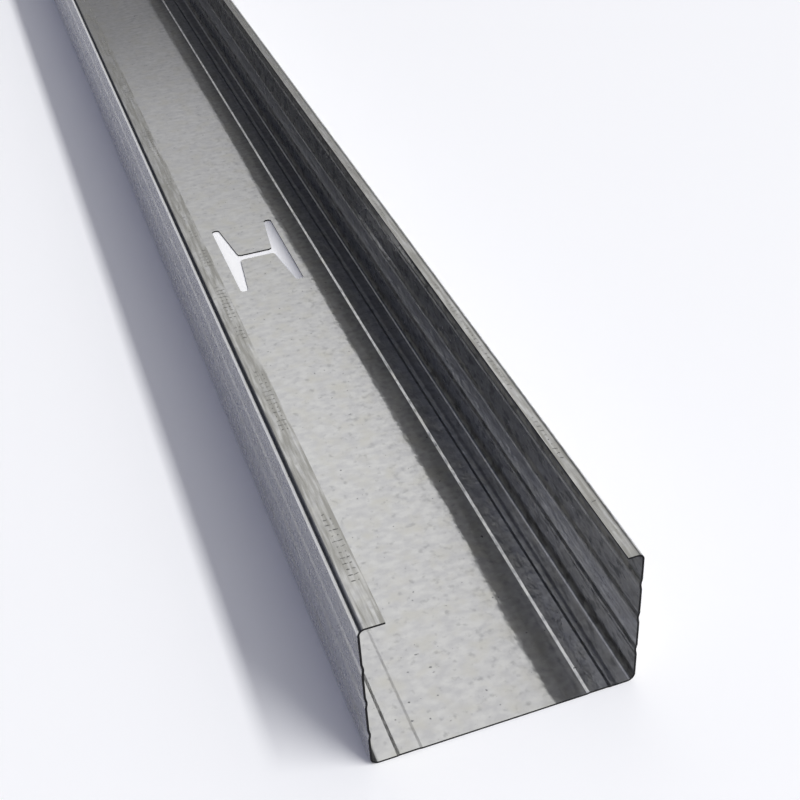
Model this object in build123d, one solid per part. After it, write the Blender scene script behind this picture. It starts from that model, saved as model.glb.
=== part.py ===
from build123d import *
import os

# Roll-formed steel stud for a partition wall: one strip of galvanised sheet, bent into a channel
# with inward lips, ribs pressed in along its web and flanges, and H-shaped punchings in its web.
# It lies on its web with the open side up. X runs across the web, Y along the stud, Z up, and the
# origin is the middle of the web's underside. All sizes are in millimetres.

# Strip and bends
SHEET = 0.6
WEB_BEND_RADIUS = 1.8            # inside the bends between the web and the flanges
LIP_BEND_RADIUS = 1.4            # inside the bends between the flanges and their lips

# Section, measured over the outside faces
STUD_LENGTH = 2500.0
WEB_WIDTH = 73.8
WIDE_FLANGE = 49.0               # one flange stands higher, so that two studs nest face to face
NARROW_FLANGE = 46.0
WIDE_LIP = 7.0
NARROW_LIP = 4.5

# Ribs pressed inwards from the outside faces
RIB_RADIUS = 0.4                 # smaller radius at each foot and crest of a rib
WEB_RIB_INSET = 10.5             # flange's outside face to the middle of the web's rib
WEB_RIB_CREST = 5.2
WEB_RIB_RAMP = 0.8
WEB_RIB_HEIGHT = 0.18
FLANGE_RIB_COUNT = 3
FLANGE_RIB_CREST = 0.7
FLANGE_RIB_RAMP = 1.5
FLANGE_RIB_HEIGHT = 0.26
FLANGE_RIB_LIFT = 0.5            # middle rib above the narrow flange's mid-height
FLANGE_RIB_SPREAD = 1.03         # rib pitch, as a share of an even division of the narrow flange

# H-shaped punchings, whose two tongues fold out to make a cable opening
FIRST_PUNCH = 256.0              # near end to the middle of the first punching
PUNCH_PITCH = 500.0
PUNCH_END_LAND = 100.0           # least plain web between the last punching and the far end
PUNCH_WIDTH = 25.6
PUNCH_LENGTH = 51.6
SLOT_END_WIDTH = 3.0             # width of a leg at its closed ends
SLOT_ROUNDING = 0.45             # corner radius at a leg's ends, as a share of its width there
TONGUE_TIP_WIDTH = 14.0
TONGUE_GAP = 3.8                 # between the free edges of the two tongues
TONGUE_CORNER_RADIUS = 1.5
CUT_OVERRUN = 1.0                # how far the punch passes the web's two faces


def rib_corners(start, along, inward, middle, crest, ramp, height):
    """Four corners of one rib on the outside face, each with its radius there."""
    foot_radius = RIB_RADIUS + SHEET
    steps = [
        (middle - crest / 2 - ramp, 0.0, foot_radius),
        (middle - crest / 2, height, RIB_RADIUS),
        (middle + crest / 2, height, RIB_RADIUS),
        (middle + crest / 2 + ramp, 0.0, foot_radius),
    ]
    return [(start + along * distance + inward * rise, radius) for distance, rise, radius in steps]


def flange_rib_heights():
    """Heights of a flange's ribs above the web's underside: the same on both flanges."""
    pitch = FLANGE_RIB_SPREAD * NARROW_FLANGE / (FLANGE_RIB_COUNT + 1)
    middle = NARROW_FLANGE / 2 + FLANGE_RIB_LIFT
    lowest = middle - pitch * (FLANGE_RIB_COUNT - 1) / 2
    return [lowest + pitch * index for index in range(FLANGE_RIB_COUNT)]


def outside_corners():
    """Corners of the outside face from the wide lip's edge round to the narrow lip's edge."""
    left, right = -WEB_WIDTH / 2, WEB_WIDTH / 2
    across, up = Vector(1, 0), Vector(0, 1)
    web_bend, lip_bend = WEB_BEND_RADIUS + SHEET, LIP_BEND_RADIUS + SHEET
    flange_rib = (FLANGE_RIB_CREST, FLANGE_RIB_RAMP, FLANGE_RIB_HEIGHT)
    web_rib = (WEB_RIB_CREST, WEB_RIB_RAMP, WEB_RIB_HEIGHT)
    left_foot, right_foot = Vector(left, 0), Vector(right, 0)

    corners = [(Vector(left, WIDE_FLANGE), lip_bend)]
    for height in reversed(flange_rib_heights()):
        corners += reversed(rib_corners(left_foot, up, across, height, *flange_rib))
    corners.append((left_foot, web_bend))
    for inset in (WEB_RIB_INSET, WEB_WIDTH - WEB_RIB_INSET):
        corners += rib_corners(left_foot, across, up, inset, *web_rib)
    corners.append((right_foot, web_bend))
    for height in flange_rib_heights():
        corners += rib_corners(right_foot, up, -across, height, *flange_rib)
    corners.append((Vector(right, NARROW_FLANGE), lip_bend))
    return corners


def section_face():
    """Section of the stud: its outside line given the sheet's thickness inwards."""
    corners = outside_corners()
    wide_edge = Vector(-WEB_WIDTH / 2 + WIDE_LIP, WIDE_FLANGE)
    narrow_edge = Vector(WEB_WIDTH / 2 - NARROW_LIP, NARROW_FLANGE)
    points = [wide_edge] + [point for point, radius in corners] + [narrow_edge]
    outside = FilletPolyline(*points, radius=[radius for point, radius in corners])
    return make_face(offset(outside, SHEET, side=Side.LEFT))


def punch_face():
    """Outline of one H-shaped punching: two legs joined by the gap between the tongues."""
    leg_end, leg_side = PUNCH_LENGTH / 2, PUNCH_WIDTH / 2
    leg_radius = SLOT_ROUNDING * SLOT_END_WIDTH
    quarter = [
        (leg_side, leg_end, leg_radius),
        (leg_side - SLOT_END_WIDTH, leg_end, leg_radius),
        (TONGUE_TIP_WIDTH / 2, TONGUE_GAP / 2, TONGUE_CORNER_RADIUS),
    ]
    far_half = quarter + [(-x, y, radius) for x, y, radius in reversed(quarter)]
    corners = far_half + [(-x, -y, radius) for x, y, radius in far_half]
    outline = FilletPolyline(
        *[(x, y) for x, y, radius in corners],
        radius=[radius for x, y, radius in corners],
        close=True,
    )
    return make_face(outline)


def punch_places():
    """Places of the punchings along the stud, as many as its length takes."""
    near_end, far_end = -STUD_LENGTH / 2, STUD_LENGTH / 2
    places = []
    place = near_end + FIRST_PUNCH
    while place + PUNCH_LENGTH / 2 + PUNCH_END_LAND <= far_end:
        places.append(place)
        place += PUNCH_PITCH
    return places


def make_stud():
    """The whole stud: the section run along its length, less the punchings."""
    end_plane = Plane.XZ.offset(-STUD_LENGTH / 2)
    strip = extrude(end_plane * section_face(), STUD_LENGTH)
    cutter = extrude(punch_face(), SHEET + 2 * CUT_OVERRUN)
    return strip - [Pos(0, place, -CUT_OVERRUN) * cutter for place in punch_places()]


os.makedirs("parts", exist_ok=True)
stud = make_stud()
stud.label = "stud"
export_step(stud, "parts/stud.step")
print("section area", round(section_face().area, 3), "mm2, volume", round(stud.volume, 1), "mm3")
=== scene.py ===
"""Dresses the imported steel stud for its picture: sheet finish, roll marks, studio and camera.

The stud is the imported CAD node, which keeps its shape and gets its finish here. The marks that the
drive rolls press into the sheet are pieces of their own. Lengths are in metres unless a name ends
in _mm, in the frame of the CAD part: X across the web, Y along the stud, Z up.
"""
import logging
import math
from dataclasses import dataclass, field
from enum import Enum

import bpy
from mathutils import Matrix, Vector


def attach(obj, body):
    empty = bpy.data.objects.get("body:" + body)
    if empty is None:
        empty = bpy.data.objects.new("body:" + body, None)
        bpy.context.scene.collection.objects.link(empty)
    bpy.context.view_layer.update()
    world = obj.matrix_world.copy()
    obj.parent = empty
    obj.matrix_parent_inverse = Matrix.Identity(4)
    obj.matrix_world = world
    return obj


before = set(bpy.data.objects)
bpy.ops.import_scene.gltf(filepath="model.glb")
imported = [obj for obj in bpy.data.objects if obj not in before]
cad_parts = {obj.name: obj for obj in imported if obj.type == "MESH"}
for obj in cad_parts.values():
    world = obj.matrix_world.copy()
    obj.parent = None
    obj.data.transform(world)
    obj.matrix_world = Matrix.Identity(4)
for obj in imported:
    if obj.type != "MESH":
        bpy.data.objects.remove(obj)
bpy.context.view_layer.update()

LOG = logging.getLogger("stud")
MM = 0.001
BODY = "root"

# Colour sockets of a Mix node, by number because its other sockets bear the same names
MIX_FIRST, MIX_SECOND, MIX_RESULT = 6, 7, 2

Tree = bpy.types.NodeTree
Socket = bpy.types.NodeSocket


def srgb(code: str) -> tuple[float, float, float, float]:
    """Turns a colour code into linear light.

    Args:
        code: sRGB colour as #RRGGBB.

    Returns:
        Linear red, green, blue and an alpha of 1.
    """
    channels = [int(code[i : i + 2], 16) / 255 for i in (1, 3, 5)]
    linear = [c / 12.92 if c <= 0.04045 else ((c + 0.055) / 1.055) ** 2.4 for c in channels]
    return (*linear, 1.0)


def per_metre(size_mm: float) -> float:
    """Scale of a noise whose features are size_mm across."""
    return 1 / (size_mm * MM)


def add_node(
    tree: Tree, kind: str, settings: dict | None = None, inputs: dict | None = None
) -> bpy.types.Node:
    """Adds one node with its settings, input values and incoming links.

    Args:
        tree: Tree that takes the node.
        kind: Blender's name of the node type.
        settings: Attributes of the node, by name.
        inputs: Values or output sockets, by the input socket's name or number.

    Returns:
        The new node.
    """
    node = tree.nodes.new(kind)
    for name, value in (settings or {}).items():
        setattr(node, name, value)
    for key, value in (inputs or {}).items():
        if isinstance(value, Socket):
            tree.links.new(value, node.inputs[key])
        else:
            node.inputs[key].default_value = value
    return node


def new_material(name: str) -> tuple[bpy.types.Material, Tree]:
    """Makes an empty node material.

    Args:
        name: The material's name.

    Returns:
        The material and its tree.
    """
    material = bpy.data.materials.new(name)
    material.use_nodes = True
    material.node_tree.nodes.clear()
    return material, material.node_tree


@dataclass(frozen=True)
class ZincPattern:
    """An irregular pattern of spots in the zinc.

    The spots are size_mm across the stud. An along above 1 squeezes them along the stud, and one
    below 1 draws them out. They fade in between the two levels of edge, on a noise from 0 to 1.
    """

    size_mm: float
    edge: tuple[float, float]
    detail: float
    along: float = 1.0

    def share(self, tree: Tree, place: Socket, limits: dict | None = None) -> Socket:
        """Finds the pattern's spots.

        Args:
            tree: The material's tree.
            place: Point on the stud.
            limits: Inputs of the last node, by name, that differ from the pattern's edge or from
                a share of 0 to 1.

        Returns:
            0 beside the spots and 1 inside them, unless limits says otherwise.
        """
        stretched = add_node(
            tree, "ShaderNodeMapping", inputs={"Vector": place, "Scale": (1.0, self.along, 1.0)}
        )
        noise = add_node(
            tree,
            "ShaderNodeTexNoise",
            inputs={
                "Vector": stretched.outputs["Vector"],
                "Scale": per_metre(self.size_mm),
                "Detail": self.detail,
            },
        )
        edge = {"From Min": self.edge[0], "From Max": self.edge[1]}
        return add_node(
            tree,
            "ShaderNodeMapRange",
            inputs={"Value": noise.outputs["Fac"], **edge, **(limits or {})},
        ).outputs["Result"]


@dataclass(frozen=True)
class ReliefLayer:
    """One layer of the sheet's shallow relief.

    along stretches it along the stud, and plain_share is its share on the web and the lips. The
    drive rolls work the narrow flange and the web's ribs harder and hardly touch the wide flange.
    """

    size_mm: float
    height_mm: float
    along: float
    detail: float
    plain_share: float


class Flange(Enum):
    """One of the two flanges, by the side of the web that it stands on."""

    WIDE = -1
    NARROW = 1


@dataclass(frozen=True)
class GalvanisedSheet:
    """Hot-dip galvanised mild steel strip, skin passed and then roll formed.

    The zinc was dipped, then flattened by a fine-ground roll. The eye sees a mirror under a haze:
    polished zinc and frosted grains too fine to see singly, grey and bright clouds a few
    millimetres across, short crosswise flecks, a few dark pits, and long shallow waves from the
    rolls. Near the right rib the flecks crowd and are partly painted shade. The lips, which rub
    on the guides, are duller. The drive rolls leave dull blotches on the narrow flange, and a
    strip of it is painted brighter as a highlight. The sheared edges show dark steel, painted
    near black with the shade that falls on them.
    """

    zinc: str = "#CECECD"
    grey_zinc: str = "#C0C0C1"
    warm_zinc: str = "#C6C5C0"
    # Dull zinc for the blotches and flecks; the crowded flecks near the right rib also paint shade
    dulled_and_shaded_zinc: str = "#868788"
    # Brighter zinc for a painted highlight along the narrow flange
    painted_highlight_zinc: str = "#F0F1F5"
    pitted_zinc: str = "#6F7072"
    scuffed_zinc: str = "#A3A29D"
    # Near black: the cut steel's own darkness, with the shade on the sheared edges painted in
    shaded_sheared_steel: str = "#242426"

    polished_roughness: float = 0.07
    frosted_roughness: float = 0.34
    scuffed_roughness: float = 0.3
    sheared_roughness: float = 0.55

    # Bright clouds, whose lower edge falls to calm_cloud_edge on the nearly cloudless wide flange
    clouds: ZincPattern = ZincPattern(3.6, (0.35, 0.65), 2.0, along=1.5)
    calm_cloud_edge: float = -0.6
    warm_tint: ZincPattern = ZincPattern(7.0, (0.48, 0.72), 3.0)
    pits: ZincPattern = ZincPattern(1.4, (0.76, 0.79), 1.0)
    blotches: ZincPattern = ZincPattern(3.0, (0.53, 0.60), 4.0, along=0.5)
    scuffs: ZincPattern = ZincPattern(0.9, (0.3, 0.62), 3.0, along=0.08)
    # Frosted grains are under 0.1 mm across, too fine to show, and are drawn as coarse as this
    frost: ZincPattern = ZincPattern(2.4, (0.3, 0.7), 1.0)
    frosted_range: tuple[float, float] = (0.26, 0.32)
    # Flecks lie closer together towards the right rib, as their lower edge falls across the web;
    #     there, near the edge of the web's reflected shade, they are partly painted shade
    flecks: ZincPattern = ZincPattern(2.2, (0.60, 0.72), 3.0)
    crowded_fleck_edge: float = 0.52
    flecked_mm: tuple[float, float] = (-5.0, 13.0)
    fleck_strength: float = 0.4

    # Places that the rolls, guides and shears have worked, as distances from the web's middle or
    # underside, and as parts of a face's normal
    flange_mm: tuple[float, float] = (35.0, 36.2)
    rib_mm: float = 26.4
    rib_half_width_mm: tuple[float, float] = (3.4, 4.4)
    rib_share: float = 0.8
    # The strip below is a painted highlight, not a worked place
    highlight_strip_mm: float = 18.0
    highlight_half_width_mm: tuple[float, float] = (3.5, 5.0)
    highlight_strength: float = 0.8
    lip_height_mm: float = 44.5
    lip_level: tuple[float, float] = (0.85, 0.99)
    flange_scuff: float = 0.5
    sheared_half_width_mm: float = 34.3
    end_facing: float = 0.9
    wall_rise: float = 0.5

    # Roll waves, ripples, dimples, lengthwise streaks, fine dimples and crosswise flecks
    relief_layers: tuple[ReliefLayer, ...] = (
        ReliefLayer(28.0, 0.14, 0.4, 0.0, 1.0),
        ReliefLayer(8.0, 0.06, 0.4, 1.0, 0.5),
        ReliefLayer(3.2, 0.24, 0.7, 2.0, 0.02),
        ReliefLayer(2.0, 0.04, 0.03, 2.0, 0.25),
        ReliefLayer(1.1, 0.03, 1.0, 1.0, 0.0),
        ReliefLayer(2.4, 0.012, 1.4, 1.0, 1.0),
    )
    calm_relief: float = 0.15
    flare_slope: float = 0.025
    flare_mm: tuple[float, float] = (-1240.0, -1160.0)

    def flange_share(self, tree: Tree, place: Socket, flange: Flange) -> Socket:
        """Finds one flange.

        Args:
            tree: The material's tree.
            place: Point on the stud.
            flange: The flange to find.

        Returns:
            1 on that flange and 0 elsewhere.
        """
        across = add_node(tree, "ShaderNodeSeparateXYZ", inputs={"Vector": place}).outputs["X"]
        outwards = add_node(
            tree, "ShaderNodeMath", {"operation": "MULTIPLY"}, {0: across, 1: float(flange.value)}
        )
        return add_node(
            tree,
            "ShaderNodeMapRange",
            inputs={
                "Value": outwards.outputs[0],
                "From Min": self.flange_mm[0] * MM,
                "From Max": self.flange_mm[1] * MM,
            },
        ).outputs["Result"]

    def ribbed_share(self, tree: Tree, place: Socket) -> Socket:
        """Finds the web's two ribs, which their rolls press hard.

        Args:
            tree: The material's tree.
            place: Point on the stud.

        Returns:
            rib_share on the ribs and 0 beside them.
        """
        across = add_node(tree, "ShaderNodeSeparateXYZ", inputs={"Vector": place}).outputs["X"]
        off_middle = add_node(tree, "ShaderNodeMath", {"operation": "ABSOLUTE"}, {0: across})
        off_rib = add_node(
            tree,
            "ShaderNodeMath",
            {"operation": "SUBTRACT"},
            {0: off_middle.outputs[0], 1: self.rib_mm * MM},
        )
        away = add_node(tree, "ShaderNodeMath", {"operation": "ABSOLUTE"}, {0: off_rib.outputs[0]})
        return add_node(
            tree,
            "ShaderNodeMapRange",
            inputs={
                "Value": away.outputs[0],
                "From Min": self.rib_half_width_mm[0] * MM,
                "From Max": self.rib_half_width_mm[1] * MM,
                "To Min": self.rib_share,
                "To Max": 0.0,
            },
        ).outputs["Result"]

    def painted_highlight_share(self, tree: Tree, place: Socket, worked: Socket) -> Socket:
        """Finds the strip between the two lower ribs that is painted brighter as a highlight.

        Args:
            tree: The material's tree.
            place: Point on the stud.
            worked: Share of the narrow flange.

        Returns:
            highlight_strength in the strip on the narrow flange and 0 elsewhere.
        """
        up = add_node(tree, "ShaderNodeSeparateXYZ", inputs={"Vector": place}).outputs["Z"]
        off_strip = add_node(
            tree, "ShaderNodeMath", {"operation": "SUBTRACT"}, {0: up, 1: self.highlight_strip_mm * MM}
        )
        away = add_node(
            tree, "ShaderNodeMath", {"operation": "ABSOLUTE"}, {0: off_strip.outputs[0]}
        )
        strip = add_node(
            tree,
            "ShaderNodeMapRange",
            inputs={
                "Value": away.outputs[0],
                "From Min": self.highlight_half_width_mm[0] * MM,
                "From Max": self.highlight_half_width_mm[1] * MM,
                "To Min": self.highlight_strength,
                "To Max": 0.0,
            },
        ).outputs["Result"]
        return add_node(
            tree, "ShaderNodeMath", {"operation": "MULTIPLY"}, {0: strip, 1: worked}
        ).outputs[0]

    def sheared_share(self, tree: Tree, place: Socket, facing: Socket) -> Socket:
        """Finds the cut ends, the lips' edges and the walls of the punchings.

        Args:
            tree: The material's tree.
            place: Point on the stud.
            facing: Direction that the surface faces.

        Returns:
            1 on a sheared face and 0 elsewhere.
        """
        at = add_node(tree, "ShaderNodeSeparateXYZ", inputs={"Vector": place}).outputs
        normal = add_node(tree, "ShaderNodeSeparateXYZ", inputs={"Vector": facing}).outputs
        along, up, across = (
            add_node(tree, "ShaderNodeMath", {"operation": "ABSOLUTE"}, {0: part}).outputs[0]
            for part in (normal["Y"], normal["Z"], at["X"])
        )
        end = add_node(
            tree, "ShaderNodeMath", {"operation": "GREATER_THAN"}, {0: along, 1: self.end_facing}
        )
        steep = add_node(
            tree, "ShaderNodeMath", {"operation": "LESS_THAN"}, {0: up, 1: self.wall_rise}
        )
        inner = add_node(
            tree,
            "ShaderNodeMath",
            {"operation": "LESS_THAN"},
            {0: across, 1: self.sheared_half_width_mm * MM},
        )
        wall = add_node(
            tree,
            "ShaderNodeMath",
            {"operation": "MULTIPLY"},
            {0: steep.outputs[0], 1: inner.outputs[0]},
        )
        return add_node(
            tree,
            "ShaderNodeMath",
            {"operation": "MAXIMUM"},
            {0: end.outputs[0], 1: wall.outputs[0]},
        ).outputs[0]

    def scuffed_share(self, tree: Tree, place: Socket, facing: Socket, worked: Socket) -> Socket:
        """Finds the blotches that the guides rub on the lips and the drive rolls on a flange.

        Args:
            tree: The material's tree.
            place: Point on the stud.
            facing: Direction that the surface faces.
            worked: Share of the narrow flange.

        Returns:
            Up to 1 on the lips, less on the narrow flange, and 0 elsewhere.
        """
        height = add_node(tree, "ShaderNodeSeparateXYZ", inputs={"Vector": place}).outputs["Z"]
        up = add_node(tree, "ShaderNodeSeparateXYZ", inputs={"Vector": facing}).outputs["Z"]
        high = add_node(
            tree,
            "ShaderNodeMath",
            {"operation": "GREATER_THAN"},
            {0: height, 1: self.lip_height_mm * MM},
        )
        level = add_node(
            tree,
            "ShaderNodeMapRange",
            inputs={"Value": up, "From Min": self.lip_level[0], "From Max": self.lip_level[1]},
        )
        lip = add_node(
            tree,
            "ShaderNodeMath",
            {"operation": "MULTIPLY"},
            {0: high.outputs[0], 1: level.outputs["Result"]},
        )
        flange = add_node(
            tree, "ShaderNodeMath", {"operation": "MULTIPLY"}, {0: worked, 1: self.flange_scuff}
        )
        region = add_node(
            tree,
            "ShaderNodeMath",
            {"operation": "MAXIMUM"},
            {0: lip.outputs[0], 1: flange.outputs[0]},
        )
        return add_node(
            tree,
            "ShaderNodeMath",
            {"operation": "MULTIPLY"},
            {0: region.outputs[0], 1: self.scuffs.share(tree, place)},
        ).outputs[0]

    def cloudy_share(self, tree: Tree, place: Socket, calm: Socket) -> Socket:
        """Finds the zinc's clouds.

        Args:
            tree: The material's tree.
            place: Point on the stud.
            calm: Share of the wide flange, which is nearly free of clouds.

        Returns:
            0 in the grey clouds and 1 in the bright ones.
        """
        edge = add_node(
            tree,
            "ShaderNodeMapRange",
            inputs={"Value": calm, "To Min": self.clouds.edge[0], "To Max": self.calm_cloud_edge},
        ).outputs["Result"]
        return self.clouds.share(tree, place, {"From Min": edge})

    def flecked_share(self, tree: Tree, place: Socket) -> Socket:
        """Finds the small dull flecks, which lie closer together towards the right rib, where they
        are partly painted shade from the ragged edge of the web's reflection.

        Args:
            tree: The material's tree.
            place: Point on the stud.

        Returns:
            fleck_strength in the middle of a fleck and 0 beside it.
        """
        across = add_node(tree, "ShaderNodeSeparateXYZ", inputs={"Vector": place}).outputs["X"]
        edge = add_node(
            tree,
            "ShaderNodeMapRange",
            inputs={
                "Value": across,
                "From Min": self.flecked_mm[0] * MM,
                "From Max": self.flecked_mm[1] * MM,
                "To Min": self.flecks.edge[0],
                "To Max": self.crowded_fleck_edge,
            },
        ).outputs["Result"]
        return self.flecks.share(tree, place, {"From Min": edge, "To Max": self.fleck_strength})

    def colour(self, tree: Tree, place: Socket, shares: dict[str, Socket]) -> Socket:
        """Lays tints, flecks, blotches, a painted highlight strip, pits, scuffs and sheared steel
        over the grey zinc; the crowded flecks and the steel's near black are partly painted shade.

        Args:
            tree: The material's tree.
            place: Point on the stud.
            shares: The cloudy, worked, scuffed and sheared shares.

        Returns:
            The surface's colour.
        """
        worked = shares["worked"]
        layers = (
            (shares["cloudy"], self.zinc),
            (self.warm_tint.share(tree, place), self.warm_zinc),
            # Flecks: dull zinc, and partly painted shade where they crowd towards the right rib
            (self.flecked_share(tree, place), self.dulled_and_shaded_zinc),
            (self.blotches.share(tree, place, {"To Max": worked}), self.dulled_and_shaded_zinc),
            # Painted highlight: a brighter strip on the narrow flange
            (self.painted_highlight_share(tree, place, worked), self.painted_highlight_zinc),
            (self.pits.share(tree, place), self.pitted_zinc),
            (shares["scuffed"], self.scuffed_zinc),
            # Sheared edges: dark steel, with painted shade that makes them near black
            (shares["sheared"], self.shaded_sheared_steel),
        )
        mixed = srgb(self.grey_zinc)
        for share, code in layers:
            mixed = add_node(
                tree,
                "ShaderNodeMix",
                {"data_type": "RGBA"},
                {"Factor": share, MIX_FIRST: mixed, MIX_SECOND: srgb(code)},
            ).outputs[MIX_RESULT]
        return mixed

    def roughness(self, tree: Tree, ground: float, shares: dict[str, Socket]) -> Socket:
        """Adds scuffs and sheared edges to the roughness of one kind of grain.

        Args:
            tree: The material's tree.
            ground: Roughness of the grain where the sheet is untouched.
            shares: The scuffed and sheared shares, among others.

        Returns:
            The roughness.
        """
        mixed = ground
        layers = (
            (shares["scuffed"], self.scuffed_roughness),
            (shares["sheared"], self.sheared_roughness),
        )
        for share, value in layers:
            mixed = add_node(
                tree,
                "ShaderNodeMapRange",
                inputs={"Value": share, "To Min": mixed, "To Max": value},
            ).outputs["Result"]
        return mixed

    def flare(self, tree: Tree, place: Socket) -> Socket:
        """Tips the web a little to one side next to the end that the shear has cut.

        Args:
            tree: The material's tree.
            place: Point on the stud.

        Returns:
            The height that this adds, in metres.
        """
        at = add_node(tree, "ShaderNodeSeparateXYZ", inputs={"Vector": place}).outputs
        slope = add_node(
            tree,
            "ShaderNodeMapRange",
            {"interpolation_type": "SMOOTHSTEP"},
            {
                "Value": at["Y"],
                "From Min": self.flare_mm[0] * MM,
                "From Max": self.flare_mm[1] * MM,
                "To Min": -self.flare_slope,
                "To Max": 0.0,
            },
        ).outputs["Result"]
        return add_node(
            tree, "ShaderNodeMath", {"operation": "MULTIPLY"}, {0: at["X"], 1: slope}
        ).outputs[0]

    def relief(self, tree: Tree, place: Socket, pressed: Socket, calm: Socket) -> Socket:
        """Layers the waves, ripples, dimples, streaks and flecks on the flare.

        Args:
            tree: The material's tree.
            place: Point on the stud.
            pressed: Share of the narrow flange and the web's ribs.
            calm: Share of the wide flange.

        Returns:
            The normal of the relief.
        """
        whole = add_node(
            tree,
            "ShaderNodeMapRange",
            inputs={"Value": calm, "To Min": 1.0, "To Max": self.calm_relief},
        ).outputs["Result"]
        # The flare's height is in metres already, so its Distance is 1
        normal = add_node(
            tree,
            "ShaderNodeBump",
            inputs={"Height": self.flare(tree, place), "Distance": 1.0, "Strength": 1.0},
        ).outputs["Normal"]
        for layer in self.relief_layers:
            stretched = add_node(
                tree,
                "ShaderNodeMapping",
                inputs={"Vector": place, "Scale": (1.0, layer.along, 1.0)},
            )
            bumps = add_node(
                tree,
                "ShaderNodeTexNoise",
                inputs={
                    "Vector": stretched.outputs["Vector"],
                    "Scale": per_metre(layer.size_mm),
                    "Detail": layer.detail,
                },
            )
            share = add_node(
                tree,
                "ShaderNodeMapRange",
                inputs={"Value": pressed, "To Min": layer.plain_share, "To Max": 1.0},
            )
            strength = add_node(
                tree,
                "ShaderNodeMath",
                {"operation": "MULTIPLY"},
                {0: share.outputs["Result"], 1: whole},
            )
            normal = add_node(
                tree,
                "ShaderNodeBump",
                inputs={
                    "Height": bumps.outputs["Fac"],
                    "Distance": layer.height_mm * MM,
                    "Strength": strength.outputs[0],
                    "Normal": normal,
                },
            ).outputs["Normal"]
        return normal

    def material(self) -> bpy.types.Material:
        """Mixes polished zinc and frosted grains, which share one colour and one relief.

        Returns:
            The finish as a node material.
        """
        material, tree = new_material("galvanised_sheet")
        where = add_node(tree, "ShaderNodeTexCoord").outputs
        place, facing = where["Object"], where["Normal"]
        worked = self.flange_share(tree, place, Flange.NARROW)
        calm = self.flange_share(tree, place, Flange.WIDE)
        shares = {
            "worked": worked,
            "cloudy": self.cloudy_share(tree, place, calm),
            "scuffed": self.scuffed_share(tree, place, facing, worked),
            "sheared": self.sheared_share(tree, place, facing),
        }
        colour = self.colour(tree, place, shares)
        pressed = add_node(
            tree,
            "ShaderNodeMath",
            {"operation": "MAXIMUM"},
            {0: worked, 1: self.ribbed_share(tree, place)},
        )
        normal = self.relief(tree, place, pressed.outputs[0], calm)
        polished, frosted = (
            add_node(
                tree,
                "ShaderNodeBsdfPrincipled",
                inputs={
                    "Base Color": colour,
                    "Metallic": 1.0,
                    "Roughness": self.roughness(tree, ground, shares),
                    "Normal": normal,
                },
            ).outputs["BSDF"]
            for ground in (self.polished_roughness, self.frosted_roughness)
        )
        frosted_share = self.frost.share(
            tree, place, {"To Min": self.frosted_range[0], "To Max": self.frosted_range[1]}
        )
        sheet = add_node(
            tree, "ShaderNodeMixShader", inputs={0: frosted_share, 1: polished, 2: frosted}
        )
        add_node(tree, "ShaderNodeOutputMaterial", inputs={"Surface": sheet.outputs["Shader"]})
        return material


@dataclass(frozen=True)
class CrushedZincAndShade:
    """Zinc that a toothed roll has crushed.

    The teeth break up the skin-passed surface, so the marks are duller than the sheet. Their
    dark colour is partly that crushed zinc and partly painted shade for the dark edges of
    their relief.
    """

    # Painted shade: these colours make the marks darker than crushed zinc alone
    high: str = "#7C7B78"
    low: str = "#525150"
    # The crushed grit is under 0.1 mm across, too fine to show, and is drawn as coarse as this
    grit: ZincPattern = ZincPattern(0.5, (0.0, 1.0), 2.0)
    roughness: float = 0.42

    def material(self) -> bpy.types.Material:
        """Speckles the marks with grit.

        Returns:
            The finish as a node material.
        """
        material, tree = new_material("crushed_zinc_and_shade")
        place = add_node(tree, "ShaderNodeTexCoord").outputs["Object"]
        colour = add_node(
            tree,
            "ShaderNodeMix",
            {"data_type": "RGBA"},
            {
                "Factor": self.grit.share(tree, place),
                MIX_FIRST: srgb(self.low),
                MIX_SECOND: srgb(self.high),
            },
        ).outputs[MIX_RESULT]
        shader = add_node(
            tree,
            "ShaderNodeBsdfPrincipled",
            inputs={"Base Color": colour, "Metallic": 1.0, "Roughness": self.roughness},
        )
        add_node(tree, "ShaderNodeOutputMaterial", inputs={"Surface": shader.outputs["BSDF"]})
        return material


@dataclass(frozen=True)
class MattPaper:
    """Seamless background paper, calendered and uncoated.

    It scatters light evenly, so the eye sees plain white with soft shadows. It glows a little to
    the camera, in reflections and through holes, and gives the stud no light by that.
    """

    colour: str = "#FAFAFA"
    glow: str = "#FFFFFF"
    glow_strength: float = 0.03
    roughness: float = 0.9

    def material(self) -> bpy.types.Material:
        """Adds the glow to the paper.

        Returns:
            The finish as a node material.
        """
        material, tree = new_material("matt_paper")
        paper = add_node(
            tree,
            "ShaderNodeBsdfPrincipled",
            inputs={"Base Color": srgb(self.colour), "Roughness": self.roughness},
        )
        ray = add_node(tree, "ShaderNodeLightPath").outputs
        seen = ray["Is Camera Ray"]
        for other in (ray["Is Glossy Ray"], ray["Is Transmission Ray"]):
            seen = add_node(
                tree, "ShaderNodeMath", {"operation": "MAXIMUM"}, {0: seen, 1: other}
            ).outputs[0]
        strength = add_node(
            tree, "ShaderNodeMath", {"operation": "MULTIPLY"}, {0: seen, 1: self.glow_strength}
        )
        glow = add_node(
            tree,
            "ShaderNodeEmission",
            inputs={"Color": srgb(self.glow), "Strength": strength.outputs[0]},
        )
        both = add_node(
            tree,
            "ShaderNodeAddShader",
            inputs={0: paper.outputs["BSDF"], 1: glow.outputs["Emission"]},
        )
        add_node(tree, "ShaderNodeOutputMaterial", inputs={"Surface": both.outputs["Shader"]})
        return material


class MarkedFace(Enum):
    """Face of the stud that a drive roll has marked."""

    WIDE_LIP = "wide_lip"
    NARROW_LIP = "narrow_lip"
    NARROW_FLANGE = "narrow_flange"


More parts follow.
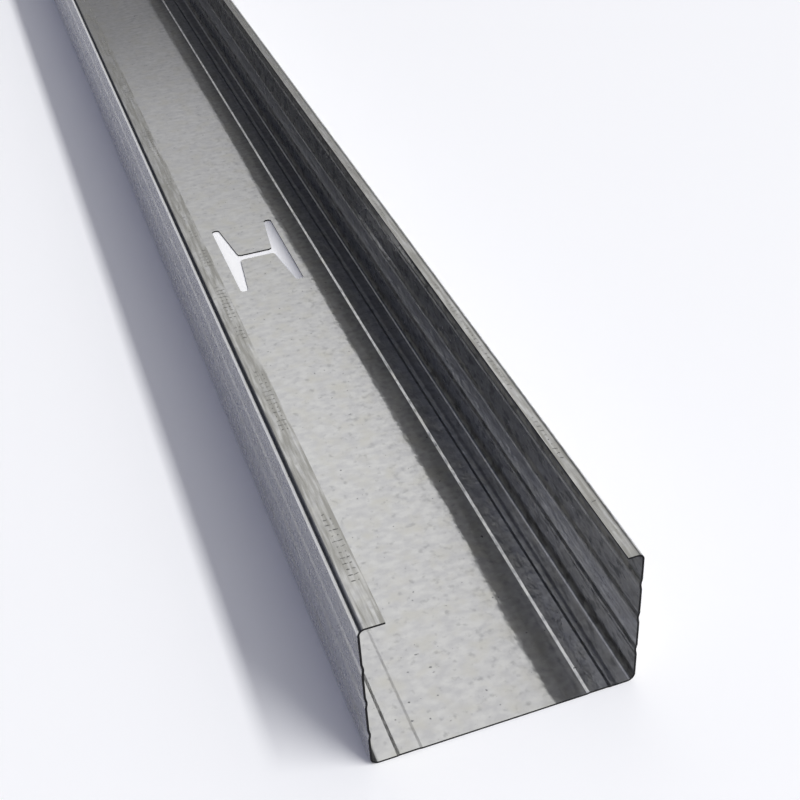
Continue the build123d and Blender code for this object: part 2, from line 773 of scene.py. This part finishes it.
@dataclass(frozen=True)
class FacePlace:
    """Where the middle of a band of marks lies, and how the band is turned, in radians."""

    middle_mm: tuple[float, float, float]
    turn: tuple[float, float, float]


FACE_PLACES = {
    MarkedFace.WIDE_LIP: FacePlace((-31.9, 0.0, 49.0), (0.0, 0.0, 0.0)),
    MarkedFace.NARROW_LIP: FacePlace((33.9, 0.0, 46.0), (0.0, 0.0, 0.0)),
    MarkedFace.NARROW_FLANGE: FacePlace((36.3, 0.0, 18.3), (0.0, -math.pi / 2, 0.0)),
}


@dataclass(frozen=True)
class RollMarks:
    """Crosswise marks that a toothed drive roll presses up in one face of the sheet.

    The marks stand in rows along the stud, in patches where the roll gripped hardest. Each one is
    turned by up to skew radians and stretched by between least_stretch and most_stretch.
    """

    face: MarkedFace
    rows: int
    row_pitch_mm: float
    seed: int
    length_mm: float = 2490.0
    pitch_mm: float = 2.1
    mark_length_mm: float = 1.7
    mark_width_mm: float = 0.42
    mark_height_mm: float = 0.02
    sunk_mm: float = 0.02
    skew: float = 0.3
    least_stretch: tuple[float, float, float] = (0.3, 0.7, 0.6)
    most_stretch: tuple[float, float, float] = (1.25, 1.2, 1.2)
    patch_mm: float = 26.0
    patch_detail: float = 6.0
    cover: float = 0.5
    top_share: float = 0.7
    sides: int = 8

    def sizes(self) -> dict[str, tuple[str, object]]:
        """Lists the inputs of the tree.

        Returns:
            Socket type and value of each input, by the input's name.
        """
        place = FACE_PLACES[self.face]
        middle = tuple(value * MM for value in place.middle_mm)
        return {
            "Band Length": ("NodeSocketFloat", self.length_mm * MM),
            "Band Width": ("NodeSocketFloat", self.row_pitch_mm * MM * (self.rows - 1)),
            "Rows": ("NodeSocketInt", self.rows),
            "Pitch": ("NodeSocketFloat", self.pitch_mm * MM),
            "Mark Length": ("NodeSocketFloat", self.mark_length_mm * MM),
            "Mark Width": ("NodeSocketFloat", self.mark_width_mm * MM),
            "Mark Height": ("NodeSocketFloat", (self.mark_height_mm + self.sunk_mm) * MM),
            "Sunk": ("NodeSocketFloat", self.sunk_mm * MM),
            "Patch Scale": ("NodeSocketFloat", per_metre(self.patch_mm)),
            "Bare Share": ("NodeSocketFloat", 1 - self.cover),
            "Seed": ("NodeSocketInt", self.seed),
            "Place": ("NodeSocketVector", middle),
            "Turn": ("NodeSocketVector", place.turn),
        }

    def tree(self, finish: bpy.types.Material) -> tuple[Tree, dict[str, str]]:
        """Builds the Geometry Nodes tree that lays the marks.

        Args:
            finish: Material of the marks.

        Returns:
            The tree and the identifier of each input, by its name.
        """
        tree = bpy.data.node_groups.new(f"{self.face.value}_marks", "GeometryNodeTree")
        identifiers = {}
        for name, (kind, _) in self.sizes().items():
            socket = tree.interface.new_socket(name, in_out="INPUT", socket_type=kind)
            identifiers[name] = socket.identifier
        tree.interface.new_socket("Geometry", in_out="OUTPUT", socket_type="NodeSocketGeometry")
        size = add_node(tree, "NodeGroupInput").outputs

        count = add_node(
            tree,
            "ShaderNodeMath",
            {"operation": "DIVIDE"},
            {0: size["Band Length"], 1: size["Pitch"]},
        )
        grid = add_node(
            tree,
            "GeometryNodeMeshGrid",
            inputs={
                "Size X": size["Band Width"],
                "Size Y": size["Band Length"],
                "Vertices X": size["Rows"],
                "Vertices Y": count.outputs[0],
            },
        )
        patches = add_node(
            tree,
            "ShaderNodeTexNoise",
            {"noise_dimensions": "4D"},
            {"W": size["Seed"], "Scale": size["Patch Scale"], "Detail": self.patch_detail},
        )
        bare = add_node(
            tree,
            "FunctionNodeCompare",
            {"operation": "LESS_THAN"},
            {"A": patches.outputs["Fac"], "B": size["Bare Share"]},
        )
        kept = add_node(
            tree,
            "GeometryNodeDeleteGeometry",
            {"domain": "POINT"},
            {"Geometry": grid.outputs["Mesh"], "Selection": bare.outputs["Result"]},
        )
        turned = add_node(
            tree,
            "FunctionNodeRandomValue",
            {"data_type": "FLOAT_VECTOR"},
            {"Min": (0.0, 0.0, -self.skew), "Max": (0.0, 0.0, self.skew), "Seed": size["Seed"]},
        )
        stretched = add_node(
            tree,
            "FunctionNodeRandomValue",
            {"data_type": "FLOAT_VECTOR"},
            {"Min": self.least_stretch, "Max": self.most_stretch, "Seed": size["Seed"]},
        )
        placed = add_node(
            tree,
            "GeometryNodeInstanceOnPoints",
            inputs={
                "Points": kept.outputs["Geometry"],
                "Instance": self.mark(tree, size),
                "Rotation": turned.outputs["Value"],
                "Scale": stretched.outputs["Value"],
            },
        )
        band = add_node(
            tree,
            "GeometryNodeTransform",
            inputs={
                "Geometry": placed.outputs["Instances"],
                "Translation": size["Place"],
                "Rotation": size["Turn"],
            },
        )
        solid = add_node(
            tree, "GeometryNodeRealizeInstances", inputs={"Geometry": band.outputs["Geometry"]}
        )
        dressed = add_node(
            tree,
            "GeometryNodeSetMaterial",
            inputs={"Geometry": solid.outputs["Geometry"], "Material": finish},
        )
        add_node(tree, "NodeGroupOutput", inputs={"Geometry": dressed.outputs["Geometry"]})
        return tree, identifiers

    def mark(self, tree: Tree, size: bpy.types.bpy_prop_collection) -> Socket:
        """Shapes one mark: a low flat-topped mound, longer across the stud than along it.

        Args:
            tree: Tree that takes the nodes.
            size: The tree's inputs.

        Returns:
            The mark's mesh.
        """
        # A mound of height 1 and diameter 1, which its three sizes then scale
        mound = add_node(
            tree,
            "GeometryNodeMeshCone",
            inputs={
                "Vertices": self.sides,
                "Radius Top": self.top_share / 2,
                "Radius Bottom": 0.5,
                "Depth": 1.0,
            },
        )
        spread = add_node(
            tree,
            "ShaderNodeCombineXYZ",
            inputs={"X": size["Mark Length"], "Y": size["Mark Width"], "Z": size["Mark Height"]},
        )
        below = add_node(
            tree, "ShaderNodeMath", {"operation": "MULTIPLY"}, {0: size["Sunk"], 1: -1.0}
        )
        offset = add_node(tree, "ShaderNodeCombineXYZ", inputs={"Z": below.outputs[0]})
        return add_node(
            tree,
            "GeometryNodeTransform",
            inputs={
                "Geometry": mound.outputs["Mesh"],
                "Translation": offset.outputs["Vector"],
                "Scale": spread.outputs["Vector"],
            },
        ).outputs["Geometry"]

    def build(self, finish: bpy.types.Material) -> None:
        """Makes the marks of one face as a plain mesh piece that rides on the stud.

        Args:
            finish: Material of the marks.
        """
        tree, identifiers = self.tree(finish)
        bed = bpy.data.objects.new("mark_bed", bpy.data.meshes.new("mark_bed"))
        bpy.context.scene.collection.objects.link(bed)
        modifier = bed.modifiers.new("marks", "NODES")
        modifier.node_group = tree
        for name, (_, value) in self.sizes().items():
            modifier[identifiers[name]] = value
        graph = bpy.context.evaluated_depsgraph_get()
        mesh = bpy.data.meshes.new_from_object(bed.evaluated_get(graph), depsgraph=graph)
        bpy.data.objects.remove(bed)
        mesh.name = f"{self.face.value}_marks"
        piece = bpy.data.objects.new(mesh.name, mesh)
        bpy.context.scene.collection.objects.link(piece)
        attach(piece, BODY)
        LOG.info("%s built with %d faces", piece.name, len(mesh.polygons))


@dataclass
class SteelStud:
    """The stud itself and the marks on three of its faces."""

    sheet: GalvanisedSheet = field(default_factory=GalvanisedSheet)
    crushed: CrushedZincAndShade = field(default_factory=CrushedZincAndShade)
    marks: tuple[RollMarks, ...] = (
        RollMarks(MarkedFace.WIDE_LIP, rows=2, row_pitch_mm=1.4, seed=11),
        RollMarks(MarkedFace.NARROW_LIP, rows=1, row_pitch_mm=1.0, seed=12),
        RollMarks(
            MarkedFace.NARROW_FLANGE, rows=4, row_pitch_mm=1.2, seed=13, mark_length_mm=0.6
        ),
    )

    def build(self) -> None:
        """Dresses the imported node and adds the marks."""
        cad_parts["stud"].data.materials[0] = self.sheet.material()
        LOG.info("stud dressed")
        crushed = self.crushed.material()
        for band in self.marks:
            band.build(crushed)


@dataclass(frozen=True)
class Softbox:
    """A flat rectangular lamp whose face is equally bright all over."""

    name: str
    centre: tuple[float, float, float]
    target: tuple[float, float, float]
    width: float
    height: float
    radiance: float

    def build(self) -> None:
        """Hangs the lamp, turned towards its target."""
        lamp = bpy.data.lights.new(self.name, "AREA")
        lamp.shape = "RECTANGLE"
        lamp.size, lamp.size_y = self.width, self.height
        lamp.energy = self.radiance * math.pi * self.width * self.height
        softbox = bpy.data.objects.new(self.name, lamp)
        bpy.context.scene.collection.objects.link(softbox)
        softbox.location = self.centre
        facing = Vector(self.target) - Vector(self.centre)
        softbox.rotation_euler = facing.to_track_quat("-Z", "Y").to_euler()


@dataclass(frozen=True)
class Room:
    """The bright ceiling and dim walls that the sheet reflects.

    Each stop gives a height above the horizon in degrees and the colour there. The stud lies
    under the ceiling's edge: the room is bright on its right and dim on its left. The side
    changes over between the two values of edge, and from the first to the second value of corner
    the room falls to corner_share of its strength. Both are the level direction's part along X.
    """

    bright_side: tuple[tuple[float, str], ...] = (
        (0.0, "#EEEEEE"),
        (3.5, "#EEEEEE"),
        (6.0, "#5F5F61"),
        (15.0, "#5C5C5E"),
        (20.0, "#858588"),
        (24.0, "#C8C8CA"),
        (29.0, "#DFDFDF"),
        (34.0, "#F4F4F4"),
        (39.0, "#FDFDFD"),
        (62.0, "#F8F8F8"),
        (76.0, "#D4D4D6"),
        (90.0, "#80828E"),
    )
    dim_side: tuple[tuple[float, str], ...] = (
        (0.0, "#EEEEEE"),
        (3.5, "#EEEEEE"),
        (6.0, "#1B1E28"),
        (30.0, "#20242F"),
        (38.0, "#50535E"),
        (42.0, "#757780"),
        (47.0, "#A8A9AE"),
        (55.0, "#A8A9AE"),
        (64.0, "#525BA6"),
        (80.0, "#4A54A4"),
        (90.0, "#5E66A0"),
    )
    strength: float = 1.05
    edge: tuple[float, float] = (-0.17, 0.0)
    corner: tuple[float, float] = (0.45, 0.7)
    corner_share: float = 0.6

    def side_colour(
        self, tree: Tree, height: Socket, stops: tuple[tuple[float, str], ...]
    ) -> Socket:
        """Blends one side of the room from horizon to zenith.

        Args:
            tree: The world's tree.
            height: Sine of the height above the horizon.
            stops: Heights in degrees and the colours there.

        Returns:
            The side's colour at that height.
        """
        blend = add_node(tree, "ShaderNodeValToRGB", inputs={"Fac": height})
        elements = blend.color_ramp.elements
        present = len(elements)
        for index, (degrees, code) in enumerate(stops):
            place = math.sin(math.radians(degrees))
            element = elements[index] if index < present else elements.new(place)
            element.position, element.color = place, srgb(code)
        return blend.outputs["Color"]

    def build(self) -> None:
        """Makes the room the scene's world."""
        world = bpy.data.worlds.new("room")
        world.use_nodes = True
        tree = world.node_tree
        tree.nodes.clear()
        direction = add_node(tree, "ShaderNodeTexCoord").outputs["Generated"]
        level = add_node(
            tree,
            "ShaderNodeVectorMath",
            {"operation": "MULTIPLY"},
            {0: direction, 1: (1.0, 1.0, 0.0)},
        )
        bearing = add_node(
            tree,
            "ShaderNodeVectorMath",
            {"operation": "NORMALIZE"},
            {0: level.outputs["Vector"]},
        ).outputs["Vector"]
        right = add_node(tree, "ShaderNodeSeparateXYZ", inputs={"Vector": bearing}).outputs["X"]
        height = add_node(tree, "ShaderNodeSeparateXYZ", inputs={"Vector": direction}).outputs["Z"]
        side = add_node(
            tree,
            "ShaderNodeMapRange",
            {"interpolation_type": "SMOOTHSTEP"},
            {"Value": right, "From Min": self.edge[0], "From Max": self.edge[1]},
        )
        colour = add_node(
            tree,
            "ShaderNodeMix",
            {"data_type": "RGBA"},
            {
                "Factor": side.outputs["Result"],
                MIX_FIRST: self.side_colour(tree, height, self.dim_side),
                MIX_SECOND: self.side_colour(tree, height, self.bright_side),
            },
        )
        fall = add_node(
            tree,
            "ShaderNodeMapRange",
            inputs={
                "Value": right,
                "From Min": self.corner[0],
                "From Max": self.corner[1],
                "To Min": self.strength,
                "To Max": self.strength * self.corner_share,
            },
        )
        light = add_node(
            tree,
            "ShaderNodeBackground",
            inputs={"Color": colour.outputs[MIX_RESULT], "Strength": fall.outputs["Result"]},
        )
        add_node(tree, "ShaderNodeOutputWorld", inputs={"Surface": light.outputs["Background"]})
        bpy.context.scene.world = world


@dataclass
class Studio:
    """Pale floor, one soft lamp and the room round them."""

    paper: MattPaper = field(default_factory=MattPaper)
    room: Room = field(default_factory=Room)
    key: Softbox = Softbox(
        "key_softbox",
        centre=(4.85, -8.0, 10.0),
        target=(0.0, -8.0, 0.0),
        width=11.0,
        height=1.0,
        radiance=39.0,
    )
    floor_side: float = 60.0

    def lay_floor(self) -> None:
        """Lays the floor that the stud lies on."""
        mesh = bpy.data.meshes.new("floor")
        half = self.floor_side / 2
        corners = [(-half, -half, 0), (half, -half, 0), (half, half, 0), (-half, half, 0)]
        mesh.from_pydata(corners, [], [(0, 1, 2, 3)])
        mesh.materials.append(self.paper.material())
        floor = bpy.data.objects.new("floor", mesh)
        bpy.context.scene.collection.objects.link(floor)

    def build(self) -> None:
        """Builds the whole studio."""
        self.lay_floor()
        self.room.build()
        self.key.build()
        LOG.info("studio built")


@dataclass(frozen=True)
class PhotoCamera:
    """Camera that sees the stud as the photograph does.

    It looks along Y, turned by azimuth towards X, by elevation down, and by roll about its own
    view, all in degrees.
    """

    place: tuple[float, float, float] = (-0.0854, -1.4508, 0.2696)
    azimuth: float = 17.315
    elevation: float = 37.036
    roll: float = -3.849
    focal_pixels: float = 1302.5
    frame_pixels: float = 800.0
    sensor_mm: float = 36.0
    clip: tuple[float, float] = (0.02, 200.0)

    def build(self) -> None:
        """Sets the camera up as the scene's camera."""
        data = bpy.data.cameras.new("photo_camera")
        data.sensor_width = self.sensor_mm
        data.lens = self.focal_pixels / self.frame_pixels * self.sensor_mm
        data.clip_start, data.clip_end = self.clip
        camera = bpy.data.objects.new("photo_camera", data)
        bpy.context.scene.collection.objects.link(camera)
        azimuth, elevation = math.radians(self.azimuth), math.radians(self.elevation)
        forward = Vector(
            (
                math.sin(azimuth) * math.cos(elevation),
                math.cos(azimuth) * math.cos(elevation),
                -math.sin(elevation),
            )
        )
        level = forward.to_track_quat("-Z", "Y").to_matrix()
        turned = level @ Matrix.Rotation(math.radians(self.roll), 3, "Z")
        camera.matrix_world = Matrix.Translation(self.place) @ turned.to_4x4()
        bpy.context.scene.camera = camera
        LOG.info("camera placed")


def main() -> None:
    """Builds the picture in order."""
    logging.basicConfig(level=logging.INFO, format="%(levelname)s %(message)s")
    PhotoCamera().build()
    SteelStud().build()
    Studio().build()
    bpy.context.scene.view_settings.view_transform = "Standard"


if __name__ == "__main__":
    main()
